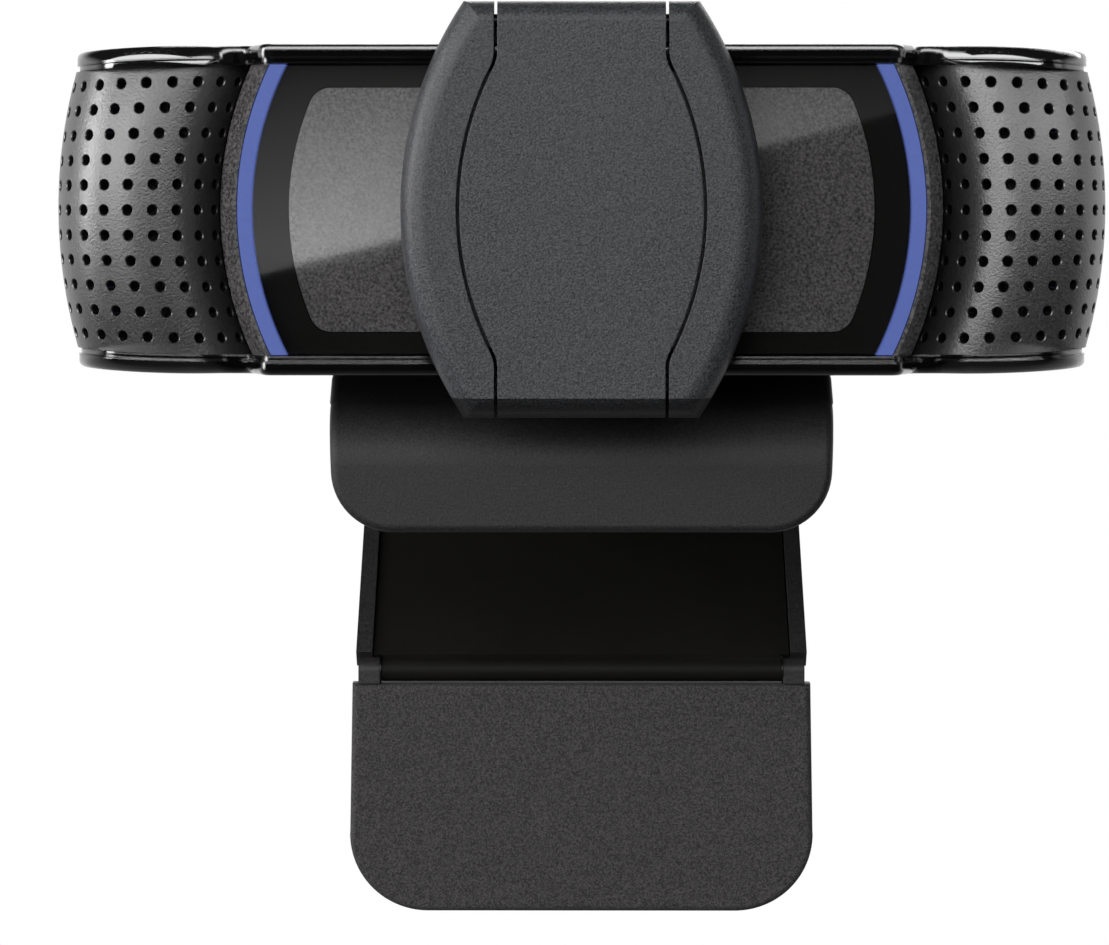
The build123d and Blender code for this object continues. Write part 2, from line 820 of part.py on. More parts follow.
def clip_plate():
    profile = outline(
        (lip_front, lip_bottom), (lip_front, plate_top), (leg_axis_y, plate_top),
        (leg_axis_y, pad_thickness), (lip_front + clip_thickness, pad_thickness),
        (lip_front + clip_thickness, lip_bottom),
    )
    inner = [v for v in profile.vertices() if abs(v.X - lip_front - clip_thickness) < near and v.Y > 0]
    profile = fillet(inner, clip_bend_radius - clip_thickness)
    outer = [v for v in profile.vertices() if abs(v.X - lip_front) < near and v.Y > 0]
    profile = fillet(outer, clip_bend_radius)
    body = side_bar(profile, -lip_width, lip_width)
    front = outline(
        (-lip_bottom_width / 2, lip_bottom), (lip_bottom_width / 2, lip_bottom),
        (lip_width / 2, plate_top + past), (-lip_width / 2, plate_top + past),
    )
    front = fillet(front.vertices().group_by(Axis.Y)[0], lip_corner_radius)
    body = body & front_plate(front, lip_front - past, leg_axis_y + past)
    plan = outline(
        (-lip_width / 2, lip_front - past), (lip_width / 2, lip_front - past), (lip_width / 2, seat_half),
        (clip_rear_width / 2, leg_axis_y), (-clip_rear_width / 2, leg_axis_y), (-lip_width / 2, seat_half),
    )
    body = body & extrude(Pos(0, 0, lip_bottom - past) * plan, plate_top - lip_bottom + 2 * past)
    body = fillet([e for e in body.edges() if on_clip_skin(e)], clip_edge_radius)
    root = leg_axis_y - 2 * leg_barrel_radius
    front = leg_axis_y - leg_barrel_radius
    back = leg_axis_y + leg_barrel_radius
    knuckle = outline(
        (root, pad_thickness), (front, pad_thickness), (front, leg_axis_z), (back, leg_axis_z),
        (back, plate_top), (root, plate_top),
    )
    corner = [v for v in knuckle.vertices() if v.X > leg_axis_y and v.Y > 0]
    knuckle = fillet(corner, leg_barrel_radius) + Pos(leg_axis_y, leg_axis_z) * Circle(leg_barrel_radius)
    start = leg_knuckle_half + leg_side_gap
    lug = side_bar(knuckle, start, clip_knuckle_outer)
    shoulder = tilt_shoulder()
    body = body + lug + both_sides(lug) + shoulder + both_sides(shoulder)
    slot = Rectangle(2 * tilt_lug, 2 * (tilt_barrel_radius + tilt_slot_clear))
    body -= extrude(Pos(0, tilt_y, pad_thickness - past) * slot, 3 * clip_thickness)
    body -= rod(leg_pin_radius + seat_clearance, -far, far, leg_axis_y, leg_axis_z)
    reach = tilt_lug + tilt_pin_hold
    return body - rod(tilt_pin_radius + seat_clearance, -reach, reach, tilt_y, tilt_z)


def tilt_pin():
    reach = tilt_lug + tilt_pin_hold - fit_gap
    return rod(tilt_pin_radius, -reach, reach, tilt_y, tilt_z)


def tilt_washers():
    start = tilt_knuckle_half + (tilt_side_gap - tilt_washer_thickness) / 2
    ring = Circle(tilt_barrel_radius - fit_gap) - Circle(tilt_pin_radius + seat_clearance)
    washer = side_bar(Pos(tilt_y, tilt_z) * ring, start, start + tilt_washer_thickness)
    return [washer, both_sides(washer)]


def seat_pad():
    return extrude(RectangleRounded(seat_width, 2 * seat_half, seat_corner), pad_thickness)


def lip_pad():
    back = lip_front + clip_thickness
    top = pad_thickness - clip_bend_radius + clip_thickness
    low = lip_bottom + lip_pad_margin / 2
    shape = RectangleRounded(lip_bottom_width - 2 * lip_pad_margin, top - low, lip_pad_corner)
    return front_plate(Pos(0, (top + low) / 2) * shape, back, back + lip_pad_thickness)


def leg_pin():
    reach = clip_knuckle_outer + leg_side_gap
    return rod(leg_pin_radius, -reach, reach, leg_axis_y, leg_axis_z)


def leg_plan(start, end, inset):
    """Plan of the leg between two distances from its hinge; it lies along -Y when folded."""
    slope = (leg_end_width - leg_root_width) / (2 * leg_length)
    root = leg_root_width / 2 + slope * start - inset
    tip = leg_root_width / 2 + slope * end - inset
    return outline((-root, -start), (root, -start), (tip, -end), (-tip, -end))


def leg_span():
    return leg_barrel_radius + 2 * leg_side_gap, leg_length - foot_top


def rear_leg():
    start, end = leg_span()
    profile = outline(
        (-start, leg_inner), (-end, leg_inner), (-end, foot_axis_rise - foot_barrel_radius),
        (leg_bevel - end, -leg_outer), (-start, -leg_outer),
    )
    body = side_bar(profile, -far, far) & extrude(Pos(0, 0, -far) * leg_plan(start, end, 0), 2 * far)
    outer_edges = [e for e in body.edges() if e.center().Z < -leg_outer + near]
    body = fillet(outer_edges, leg_edge_radius)
    floor = leg_inner - leg_recess
    body -= extrude(Pos(0, 0, floor) * leg_plan(start + leg_rail, leg_length, leg_rail), 2 * leg_recess)
    root = outline(
        (-start - leg_rail / 2, -leg_barrel_radius), (0, -leg_barrel_radius), (0, leg_barrel_radius),
        (-start - leg_rail / 2, floor),
    )
    root = root + Circle(leg_barrel_radius)
    body += side_bar(root, -leg_knuckle_half, leg_knuckle_half)
    body -= rod(leg_pin_radius + pin_clearance, -far, far, 0, 0)
    pocket = Pos(0, -insert_place, -leg_outer - past) * Circle(insert_radius + seat_clearance)
    return body - extrude(pocket, insert_length + past)


def leg_core():
    """Dark inner panel of the leg; its lower end carries the middle knuckle of the foot hinge."""
    start, end = leg_span()
    floor = leg_inner - leg_recess
    plan = leg_plan(start + leg_rail + core_margin, end, leg_rail + core_margin)
    panel = extrude(Pos(0, 0, floor) * plan, core_thickness)
    low = foot_axis_rise - foot_barrel_radius
    tip = outline((-end, low), (-leg_length, low), (-leg_length, leg_inner), (-end, floor + core_thickness))
    tip = tip + Pos(-leg_length, foot_axis_rise) * Circle(foot_barrel_radius)
    half = foot_knuckle_inner - foot_side_gap
    body = panel + side_bar(tip, -half, half)
    return body - rod(foot_pin_radius + seat_clearance, -far, far, -leg_length, foot_axis_rise)


def tripod_insert():
    ring = Circle(insert_radius) - Circle(insert_bore_radius)
    return extrude(Pos(0, -insert_place, -leg_outer) * ring, insert_length)


def foot_pin():
    reach = foot_knuckle_outer - foot_pin_inset
    return rod(foot_pin_radius, -reach, reach, -leg_length, foot_axis_rise)


def foot_plan():
    """Plan of the foot, lying along -Y when folded in line with the leg."""
    plan = outline(
        (-foot_top_width / 2, -foot_top), (foot_top_width / 2, -foot_top),
        (foot_bottom_width / 2, -foot_length), (-foot_bottom_width / 2, -foot_length),
    )
    return fillet(plan.vertices().group_by(Axis.Y)[0], foot_corner_radius)


def foot_carrier():
    seat = foot_barrel_radius - foot_pad_thickness
    back = foot_barrel_radius - foot_thickness
    sloped = foot_top + foot_bevel
    profile = outline(
        (-foot_top, seat), (-far, seat), (-far, back), (-sloped, back), (-foot_top, seat - foot_land),
    )
    body = side_bar(profile, -far, far) & extrude(Pos(0, 0, -far) * foot_plan(), 2 * far)
    back_edges = [e for e in body.edges() if e.center().Z < back + near]
    body = fillet(back_edges, foot_edge_radius)
    arm = outline(
        (0, foot_barrel_radius), (-foot_top, foot_barrel_radius), (-foot_top, seat), (-sloped, seat),
        (-sloped, back + foot_edge_radius), (-foot_top, -foot_barrel_radius), (0, -foot_barrel_radius),
    )
    arm = arm + Circle(foot_barrel_radius)
    knuckle = side_bar(arm, foot_knuckle_inner, foot_knuckle_outer)
    body = body + knuckle + both_sides(knuckle)
    return body - rod(foot_pin_radius + pin_clearance, -far, far, 0, 0)


def foot_pad():
    seat = foot_barrel_radius - foot_pad_thickness
    body = extrude(Pos(0, 0, seat) * foot_plan(), foot_pad_thickness)
    front_edges = [e for e in body.edges() if e.center().Z > foot_barrel_radius - near]
    return fillet(front_edges, foot_edge_radius)


def write(name, shape, place=None):
    pieces = shape if isinstance(shape, list) else [shape]
    solids = [s for piece in pieces for s in piece.solids()]
    if place is not None:
        solids = [place * s for s in solids]
    whole = solids[0] if len(solids) == 1 else Compound(children=solids)
    export_step(whole, "parts/" + name + ".step")
    print(name, len(solids), round(sum(s.volume for s in solids), 2))


def main():
    os.makedirs("parts", exist_ok=True)
    head = {
        "top_cover": top_cover(), "bottom_cover": bottom_cover(), "front_frame": front_frame(),
        "rear_cover": rear_cover(), "front_glass": front_glass(), "inner_bezel": inner_bezel(),
        "window_backing": window_backing(), "lens_ring": lens_ring(), "lens_hood": lens_hood(),
        "focus_housing": focus_housing(), "focus_magnets": focus_magnets(), "focus_spring": focus_spring(),
        "lens_barrel": lens_barrel(), "lens_element": lens_element(), "focus_coil": focus_coil(),
        "image_sensor": image_sensor(), "ir_filter": ir_filter(), "main_board": main_board(),
        "board_screws": board_screws(), "image_processor": image_processor(),
        "cable_header": cable_header(), "status_leds": status_leds(), "cable_gland": cable_gland(),
        "tilt_bracket": tilt_bracket(), "bracket_screws": bracket_screws(),
        "shutter_frame": shutter_frame(), "shutter_pin": shutter_pin(), "shutter_flap": shutter_flap(),
    }
    pairs = {
        "mic_grille": mic_grille(), "light_pipe": light_pipe(), "mic_capsule": mic_capsule(),
        "mic_boot": mic_boot(),
    }
    for name, piece in pairs.items():
        head[name + "_right"] = piece
        head[name + "_left"] = both_sides(piece)
    for name, shape in head.items():
        write(name, shape, head_place)
    clip = {
        "clip_plate": clip_plate(), "seat_pad": seat_pad(), "lip_pad": lip_pad(), "tilt_pin": tilt_pin(),
        "tilt_washers": tilt_washers(), "leg_pin": leg_pin(),
    }
    for name, shape in clip.items():
        write(name, shape)
    leg = {
        "rear_leg": rear_leg(), "leg_core": leg_core(), "tripod_insert": tripod_insert(),
        "foot_pin": foot_pin(),
    }
    for name, shape in leg.items():
        write(name, shape, leg_place)
    for name, shape in {"foot_carrier": foot_carrier(), "foot_pad": foot_pad()}.items():
        write(name, shape, foot_place)


main()
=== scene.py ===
import bmesh
import bpy
import math
import numpy as np
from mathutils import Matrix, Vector


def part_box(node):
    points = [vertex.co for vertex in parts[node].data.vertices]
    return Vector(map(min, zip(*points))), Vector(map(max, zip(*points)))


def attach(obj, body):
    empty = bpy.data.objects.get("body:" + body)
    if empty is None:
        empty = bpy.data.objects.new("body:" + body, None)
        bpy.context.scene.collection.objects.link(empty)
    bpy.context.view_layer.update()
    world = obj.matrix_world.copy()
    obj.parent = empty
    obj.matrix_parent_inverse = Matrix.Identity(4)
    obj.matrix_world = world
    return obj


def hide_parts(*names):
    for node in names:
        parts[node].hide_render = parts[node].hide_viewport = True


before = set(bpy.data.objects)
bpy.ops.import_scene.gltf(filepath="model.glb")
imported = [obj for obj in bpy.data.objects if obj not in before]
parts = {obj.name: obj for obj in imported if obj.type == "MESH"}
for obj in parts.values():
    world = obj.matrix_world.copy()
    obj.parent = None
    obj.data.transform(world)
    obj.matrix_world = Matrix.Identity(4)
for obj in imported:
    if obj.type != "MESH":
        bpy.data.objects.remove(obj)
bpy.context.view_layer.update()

mm = 0.001
# the perforated lobes, in millimetres and degrees; their middle also places the rims of the covers
grille = {
    "lobeX": 39.4, "lobeY": -17.4, "midZ": 20.15, "radius": 7.5995, "fall": 0.0075, "wall": 1.3,
    "archX": 1.0, "halfHeight": 12.8, "blockHalf": 30.55, "endX": 47.0, "endDrop": 0.63,
    "start": -68.0, "end": 105.0, "columns": 10, "firstColumn": -62.0, "columnPitch": 16.8,
    "rows": 11, "rowPitch": 2.27, "hole": 0.45, "rim": 0.09, "collar": 1.5, "perSide": 6,
    "skin": 0.06, "skinBlend": 0.12,
}


def screen(r, g, b):
    # screen values 0-255 as linear light
    c = np.array([r, g, b]) / 255
    linear = np.where(c <= 0.04045, c / 12.92, ((c + 0.055) / 1.055) ** 2.4)
    return (*(float(v) for v in linear), 1.0)


def tone(colour, level):
    # the same colour, darker or lighter
    return (*(c * level for c in colour[:3]), 1.0)


class Wire:
    # one output socket of a shader tree; sums and products of wires add Math nodes
    def __init__(self, tree, socket=None):
        self.tree, self.socket = tree, socket

    def node(self, kind, settings=None, inputs=None, out=0):
        made = self.tree.nodes.new(kind)
        for name, value in (settings or {}).items():
            if name == "stops":  # a ramp's (place, colour) pairs
                while len(made.color_ramp.elements) < len(value):
                    made.color_ramp.elements.new(0.5)
                for stop, (place, colour) in zip(made.color_ramp.elements, value):
                    stop.position, stop.color = place, colour
            else:
                setattr(made, name, value)
        self.feed(made, inputs or {})
        return Wire(self.tree, made.outputs[out])

    def feed(self, made, inputs):
        for name, value in inputs.items():
            if isinstance(value, Wire):
                self.tree.links.new(value.socket, made.inputs[name])
            else:
                made.inputs[name].default_value = value

    def sum(self, operation, first, second):
        return self.node("ShaderNodeMath", {"operation": operation}, {0: first, 1: second})

    def __add__(self, other):
        return self.sum("ADD", self, other)

    def __sub__(self, other):
        return self.sum("SUBTRACT", self, other)

    def __rsub__(self, other):
        return self.sum("SUBTRACT", other, self)

    def __mul__(self, other):
        return self.sum("MULTIPLY", self, other)

    def __truediv__(self, other):
        return self.sum("DIVIDE", self, other)

    def __rtruediv__(self, other):
        return self.sum("DIVIDE", other, self)

    def __gt__(self, other):
        return self.sum("GREATER_THAN", self, other)

    __radd__ = __add__
    __rmul__ = __mul__

    def size(self):
        return self.sum("ABSOLUTE", self, 0.0)

    def root(self):
        return self.sum("SQRT", self, 0.0)

    def clamp(self, low=0.0, high=1.0):
        return self.sum("MINIMUM", self.sum("MAXIMUM", self, low), high)

    def blend(self, first, second):
        # colour between two colours, this wire being the share of the second
        return self.node("ShaderNodeMix", {"data_type": "RGBA"}, {0: self, 6: first, 7: second}, out=2)

    def axis(self, index):
        return self.node("ShaderNodeSeparateXYZ", None, {0: self}, out=index)

    def stretched(self, scale):
        return self.node("ShaderNodeMapping", None, {"Vector": self, "Scale": scale})

    def noise(self, size, detail=2.0, rough=0.5):
        return self.node(
            "ShaderNodeTexNoise", None,
            {"Vector": self, "Scale": 1 / (size * mm), "Detail": detail, "Roughness": rough},
        )

    def pebbles(self, size, smooth=0.6):
        return self.node(
            "ShaderNodeTexVoronoi", {"feature": "SMOOTH_F1"},
            {"Vector": self, "Scale": 1 / (size * mm), "Smoothness": smooth},
        )

    def softEdge(self, radius):
        return self.node("ShaderNodeBevel", {"samples": 3}, {"Radius": radius * mm})

    def bump(self, strength, height, relief, under=None):
        inputs = {"Strength": strength, "Distance": height * mm, "Height": relief}
        if under:
            inputs["Normal"] = under
        return self.node("ShaderNodeBump", None, inputs)

    def shaped(self, look):
        # the slow forms below the grain: a softened edge, a rim on the lobes that falls away above and below
        # its crown, and a lower hem that turns away steeply
        normal = self.softEdge(look["edge"]) if "edge" in look else None
        if "crown" in look:
            rise = (self.axis(2) / mm - grille["midZ"]).size() - look["crown"]
            lobe = ((self.axis(0).size() / mm - look["lobeFrom"]) / look["lobeBlend"]).clamp()
            # flat tops and undersides stay plain
            upright = 1 - self.node("ShaderNodeNewGeometry", out="True Normal").axis(2).size()
            normal = self.bump(1.0, 1.0, rise * rise * lobe * upright * -look["fall"], normal)
        if "hem" in look:
            turned = (look["hem"] - self.axis(2) / mm).clamp(0.0, look["hemDepth"])
            normal = self.bump(1.0, 1.0, turned * -look["hemSlope"], normal)
        return normal


def newFinish(name):
    # a new material, its Object coordinates and its shader
    finish = bpy.data.materials.new(name)
    finish.use_nodes = True
    place = Wire(finish.node_tree).node("ShaderNodeTexCoord", out="Object")
    return finish, place, finish.node_tree.nodes["Principled BSDF"]


frontFrame = {"stripHalf": 27.5, "stripBlend": 1.0}


def middlePart(place):
    # the strips above and below the glass, between the two arcs of light, which grained() turns plain near
    # black without grain
    return ((frontFrame["stripHalf"] - place.axis(0).size() / mm) / frontFrame["stripBlend"]).clamp()


def holeWallShade(place):
    # distance from the ring on which the lobe is swung; behind the skin, on the walls of the holes, the
    # grille gets painted shade, near black
    x, y, z = (place.axis(index) / mm for index in range(3))
    across, up = x.size() - grille["archX"], z - grille["midZ"]
    back = (y - grille["lobeY"]) / (1 - up * up * (grille["fall"] / grille["radius"]))
    swing = (across * across + up * up).root() - (grille["lobeX"] - grille["archX"])
    under = grille["radius"] - grille["skin"] - (swing * swing + back * back).root()
    return (under / grille["skinBlend"]).clamp()


# the last colour is the near black of the painted shade in the grille's holes, also used on the frame's
# middle strips
grain = {"pebble": 1.5, "pebbleRelief": 0.5, "patch": 9.0, "patchRough": 0.12, "speckRough": 0.25,
         "leastRough": 0.05, "dark": 0.2, "pale": 1.8, "holeShadeAndStripBlack": (0.003, 0.003, 0.003, 1.0)}


def grained(name, look):
    # eroded-mould plastic or rubber: pebbled relief, speckled colour, patches worn a little smoother
    finish, place, shader = newFinish(name)
    drawn = place.stretched(look.get("stretch", (1.0, 1.0, 1.0)))
    pebble = drawn.pebbles(look["grain"] * grain["pebble"])
    speck = drawn.noise(look["grain"], 2.0, 0.6)
    patch = place.noise(grain["patch"], 3.0)
    share = (0.5 + (speck - 0.5) * look["speckle"] + (patch - 0.5) * look["drift"]).clamp()
    rough = look["rough"] + (patch - 0.5) * grain["patchRough"] + (speck - 0.5) * grain["speckRough"]
    colour = share.blend(tone(look["colour"], grain["dark"]), tone(look["colour"], grain["pale"]))
    relief = pebble * grain["pebbleRelief"] + speck
    # painted shade: the grille's hole walls turn near black without grain relief; the frame's middle strips
    # turn the same near black
    if "dark" in look:
        dark = look["dark"](place)
        colour, relief = dark.blend(colour, grain["holeShadeAndStripBlack"]), relief * (1 - dark)
    place.feed(shader, {
        "Base Color": colour, "Roughness": rough.clamp(grain["leastRough"]),
        "Normal": place.bump(look["depth"], look["height"], relief, place.shaped(look)),
        "Specular IOR Level": look.get("gloss", 0.5), "Coat Weight": look.get("coat", 0.0),
        "IOR": look.get("ior", 1.5), "Coat IOR": look.get("coatIor", 1.5),
    })
    return finish


polish = {"wipe": 1.6, "wipeStretch": (0.25, 1.0, 1.0), "wipeRough": 0.05, "dust": 0.35, "dustAbove": 0.72,
          "dustTone": 1.8, "ripple": 6.0, "rippleDepth": 0.05, "rippleHeight": 0.02}


def polished(name, look):
    # polished black moulding: clear depth, a few dust specks and faint wiping marks
    finish, place, shader = newFinish(name)
    marks = place.stretched(polish["wipeStretch"]).noise(polish["wipe"], 4.0, 0.6)
    dust = place.noise(polish["dust"], 2.0)
    dusty = tone(look["colour"], polish["dustTone"])
    ripple = place.noise(polish["ripple"], 1.0)
    place.feed(shader, {
        "Base Color": (dust > polish["dustAbove"]).blend(look["colour"], dusty),
        "Roughness": look["rough"] + (marks - 0.5) * polish["wipeRough"],
        "Normal": place.bump(polish["rippleDepth"], polish["rippleHeight"], ripple, place.shaped(look)),
        "IOR": look["ior"],
    })
    return finish


smoke = {"smear": 7.0, "smearTone": 1.3, "leastRough": 0.01, "smearRough": 0.02}


def smoked(name, look):
    # tinted glass: partly see-through, with a clear reflection and faint smears
    finish, place, shader = newFinish(name)
    smear = place.noise(smoke["smear"], 4.0, 0.65)
    place.feed(shader, {
        "Base Color": smear.blend(look["colour"], tone(look["colour"], smoke["smearTone"])),
        "Roughness": smoke["leastRough"] + smear * smoke["smearRough"], "Alpha": look["cover"],
        "IOR": look["ior"], "Specular IOR Level": look["gloss"],
    })
    return finish


turning = {"mark": 0.12, "markShare": 0.6, "markRough": 0.15, "markDepth": 0.2, "markHeight": 0.01,
           "stain": 2.5, "tones": (0.8, 1.15)}


def metal(name, look):
    # turned or drawn metal: fine marks along one direction, darker in the marks
    finish, place, shader = newFinish(name)
    marks = place.stretched(look["stretch"]).noise(turning["mark"], 3.0, 0.6)
    stain = place.noise(turning["stain"], 3.0)
    share = marks * turning["markShare"] + stain * (1 - turning["markShare"])
    place.feed(shader, {
        "Base Color": share.blend(*(tone(look["colour"], level) for level in turning["tones"])),
        "Metallic": 1.0, "Roughness": look["rough"] + (marks - 0.5) * turning["markRough"],
        "Normal": place.bump(turning["markDepth"], turning["markHeight"], marks),
    })
    return finish


frosting = {"frost": 0.5, "frostShare": 0.4, "patch": 5.0, "patchShare": 0.5, "unlitTones": (0.12, 0.2),
            "glowTones": (0.85, 1.15), "rough": 0.4, "gloss": 0.3}


def lit(name, look):
    # frosted light guide: an even glow, a little uneven where the frosting scatters
    finish, place, shader = newFinish(name)
    frost = place.noise(frosting["frost"], 3.0, 0.6)
    patch = place.noise(frosting["patch"], 1.0)
    glow = (0.5 + (frost - 0.5) * frosting["frostShare"] + (patch - 0.5) * frosting["patchShare"]).clamp()
    place.feed(shader, {
        "Base Color": frost.blend(*(tone(look["colour"], level) for level in frosting["unlitTones"])),
        "Roughness": frosting["rough"], "Specular IOR Level": frosting["gloss"],
        "Emission Color": glow.blend(*(tone(look["colour"], level) for level in frosting["glowTones"])),
        "Emission Strength": look["strength"],
    })
    return finish


lacquer = {"weave": 0.25, "weaveShare": 0.2, "weaveRough": 0.15, "rough": 0.3,
           "runScale": 260.0, "runWidth": 0.03, "runShare": 0.6, "runTone": 2.4}


def circuit(name, look):
    # solder mask: a woven ground with paler copper runs under the lacquer
    finish, place, shader = newFinish(name)
    weave = place.noise(lacquer["weave"], 2.0)
    runs = place.node(
        "ShaderNodeTexBrick", None,
        {"Vector": place, "Scale": lacquer["runScale"], "Mortar Size": lacquer["runWidth"]}, out=1,
    )
    share = (runs * lacquer["runShare"] + weave * lacquer["weaveShare"]).clamp()
    place.feed(shader, {
        "Base Color": share.blend(look["colour"], tone(look["colour"], lacquer["runTone"])),
        "Roughness": lacquer["rough"] + weave * lacquer["weaveRough"],
    })
    return finish


makers = {
    grained: {
        "bandGrey": {"colour": screen(74, 72, 72), "grain": 0.3, "speckle": 3.0, "drift": 0.2, "depth": 0.9,
                     "height": 0.07, "rough": 0.5, "stretch": (1.0, 0.2, 1.0), "dark": middlePart},
        # the grille's hole walls get painted shade
        "grilleGrey": {"colour": screen(52, 50, 50), "grain": 0.17, "speckle": 2.0, "drift": 0.1,
                       "depth": 0.6, "height": 0.04, "rough": 0.36, "ior": 2.0, "gloss": 0.6,
                       "dark": holeWallShade},
        "rearGrey": {"colour": screen(40, 39, 39), "grain": 0.28, "speckle": 1.0, "drift": 0.15, "depth": 0.6,
                     "height": 0.04, "rough": 0.44},
        "shutterGrey": {"colour": screen(68, 69, 72), "grain": 0.17, "speckle": 2.6, "drift": 0.1,
                        "depth": 0.7, "height": 0.04, "rough": 0.42, "edge": 0.14,
                        "hem": 3.8, "hemDepth": 9.0, "hemSlope": 1.2},
        "clipGrey": {"colour": screen(42, 40, 41), "grain": 0.18, "speckle": 2.2, "drift": 0.15, "depth": 0.6,
                     "height": 0.04, "rough": 0.55},
        "legGrey": {"colour": screen(44, 42, 42), "grain": 0.28, "speckle": 1.2, "drift": 0.15, "depth": 0.6,
                    "height": 0.04, "rough": 0.5, "edge": 0.14},
        "coreBlack": {"colour": screen(20, 19, 17), "grain": 0.5, "speckle": 0.4, "drift": 0.2, "depth": 0.15,
                      "height": 0.02, "rough": 0.6, "gloss": 0.2},
        "padGrey": {"colour": screen(66, 64, 65), "grain": 0.15, "speckle": 2.8, "drift": 0.1, "depth": 0.8,
                    "height": 0.05, "rough": 0.66, "gloss": 0.35},
        "gripBlack": {"colour": screen(28, 28, 28), "grain": 0.3, "speckle": 0.9, "drift": 0.25, "depth": 0.6,
                      "height": 0.04, "rough": 0.8, "gloss": 0.3},
        "bezelBlack": {"colour": screen(46, 45, 42), "grain": 0.4, "speckle": 0.4, "drift": 0.1, "depth": 0.2,
                       "height": 0.02, "rough": 0.7, "gloss": 0.2},
        "windowGrey": {"colour": screen(184, 180, 181), "grain": 0.24, "speckle": 2.2, "drift": 0.1,
                       "depth": 0.6, "height": 0.05, "rough": 0.6, "coat": 1.0, "coatIor": 3.0},
        "hoodBlack": {"colour": screen(15, 15, 15), "grain": 0.15, "speckle": 0.5, "drift": 0.1, "depth": 0.3,
                      "height": 0.02, "rough": 0.75, "gloss": 0.2},
        "ivory": {"colour": screen(225, 220, 205), "grain": 0.2, "speckle": 0.2, "drift": 0.1, "depth": 0.3,
                  "height": 0.02, "rough": 0.5},
    },
    polished: {
        "coverBlack": {"colour": screen(9, 9, 9), "rough": 0.08, "edge": 0.3, "ior": 2.1, "crown": 12.5,
                       "fall": 0.25, "lobeFrom": 30.8, "lobeBlend": 3.5},
    },
    smoked: {
        "smokedGlass": {"colour": screen(5, 5, 6), "cover": 0.32, "ior": 1.52, "gloss": 0.45},
        "lensGlass": {"colour": screen(38, 22, 60), "cover": 0.55, "ior": 1.7, "gloss": 0.9},
    },
    lit: {
        "ledBlue": {"colour": screen(88, 106, 178), "strength": 0.76},
        "ledWhite": {"colour": screen(214, 220, 240), "strength": 0.5},
    },
    metal: {
        "ringMetal": {"colour": screen(150, 150, 152), "rough": 0.32, "stretch": (1.0, 0.1, 1.0)},
        "steel": {"colour": screen(190, 190, 192), "rough": 0.3, "stretch": (0.1, 1.0, 1.0)},
        "blackSteel": {"colour": screen(60, 60, 62), "rough": 0.36, "stretch": (0.1, 1.0, 1.0)},
        "nickel": {"colour": screen(205, 203, 198), "rough": 0.2, "stretch": (1.0, 1.0, 1.0)},
        "copper": {"colour": screen(200, 120, 82), "rough": 0.35, "stretch": (1.0, 0.15, 1.0)},
        "brass": {"colour": screen(205, 165, 92), "rough": 0.3, "stretch": (0.15, 1.0, 1.0)},
        "sensorFace": {"colour": screen(80, 78, 96), "rough": 0.15, "stretch": (1.0, 1.0, 1.0)},
    },
    circuit: {"boardGreen": {"colour": screen(18, 62, 40)}},
}
finishes = {name: maker(name, look) for maker, looks in makers.items() for name, look in looks.items()}
print("finishes made:", len(finishes))

dressing = {
    "coverBlack": ["top_cover", "bottom_cover"],
    "bandGrey": ["front_frame"],
    "rearGrey": ["rear_cover"],
    "grilleGrey": ["mic_grille_right", "mic_grille_left"],
    "shutterGrey": ["shutter_frame", "shutter_flap"],
    "clipGrey": ["clip_plate"],
    "legGrey": ["rear_leg", "foot_carrier"],
    "coreBlack": ["leg_core"],
    "padGrey": ["foot_pad"],
    "gripBlack": ["seat_pad", "lip_pad", "cable_gland"],
    "bezelBlack": ["inner_bezel", "image_processor"],
    "windowGrey": ["window_backing"],
    "hoodBlack": ["lens_hood", "lens_barrel", "mic_boot_right", "mic_boot_left"],
    "ivory": ["cable_header"],
    "smokedGlass": ["front_glass"],
    "lensGlass": ["lens_element", "ir_filter"],
    "ledBlue": ["light_pipe_right", "light_pipe_left"],
    "ledWhite": ["status_leds"],
    "ringMetal": ["lens_ring"],
    "steel": ["tilt_washers", "board_screws", "bracket_screws", "focus_housing"],
    "blackSteel": ["tilt_pin", "leg_pin", "foot_pin", "shutter_pin", "tilt_bracket", "mic_capsule_right",
                   "mic_capsule_left"],
    "nickel": ["focus_magnets"],
    "copper": ["focus_coil", "focus_spring"],
    "brass": ["tripod_insert"],
    "sensorFace": ["image_sensor"],
    "boardGreen": ["main_board"],
}
for finishName, wearers in dressing.items():
    for wearer in wearers:
        parts[wearer].data.materials.clear()
        parts[wearer].data.materials.append(finishes[finishName])
print("parts dressed:", sum(len(wearers) for wearers in dressing.values()))


meshing = {"joinGap": 2e-7, "sliver": 1e-7, "foldAngle": 38}


def newPiece(name, points, faces, finish, body, node, slot):
    # a closed mesh from whole arrays in millimetres: doubles merged, faces turned outwards,
    # smooth up to a sharp fold
    mesh = bpy.data.meshes.new(name)
    mesh.from_pydata((points.reshape(-1, 3) * mm).tolist(), [], faces.reshape(-1, 4).tolist())
    work = bmesh.new()
    work.from_mesh(mesh)
    bmesh.ops.remove_doubles(work, verts=work.verts, dist=meshing["joinGap"])
    bmesh.ops.dissolve_degenerate(work, edges=work.edges, dist=meshing["sliver"])
    bmesh.ops.recalc_face_normals(work, faces=work.faces)
    work.to_mesh(mesh)
    work.free()
    mesh.shade_smooth()
    mesh.set_sharp_from_angle(angle=math.radians(meshing["foldAngle"]))
    mesh.materials.append(finishes[finish])
    made = bpy.data.objects.new(name, mesh)
    bpy.context.scene.collection.objects.link(made)
    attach(made, body)
    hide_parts(node)
    print(name, len(mesh.polygons), "faces")


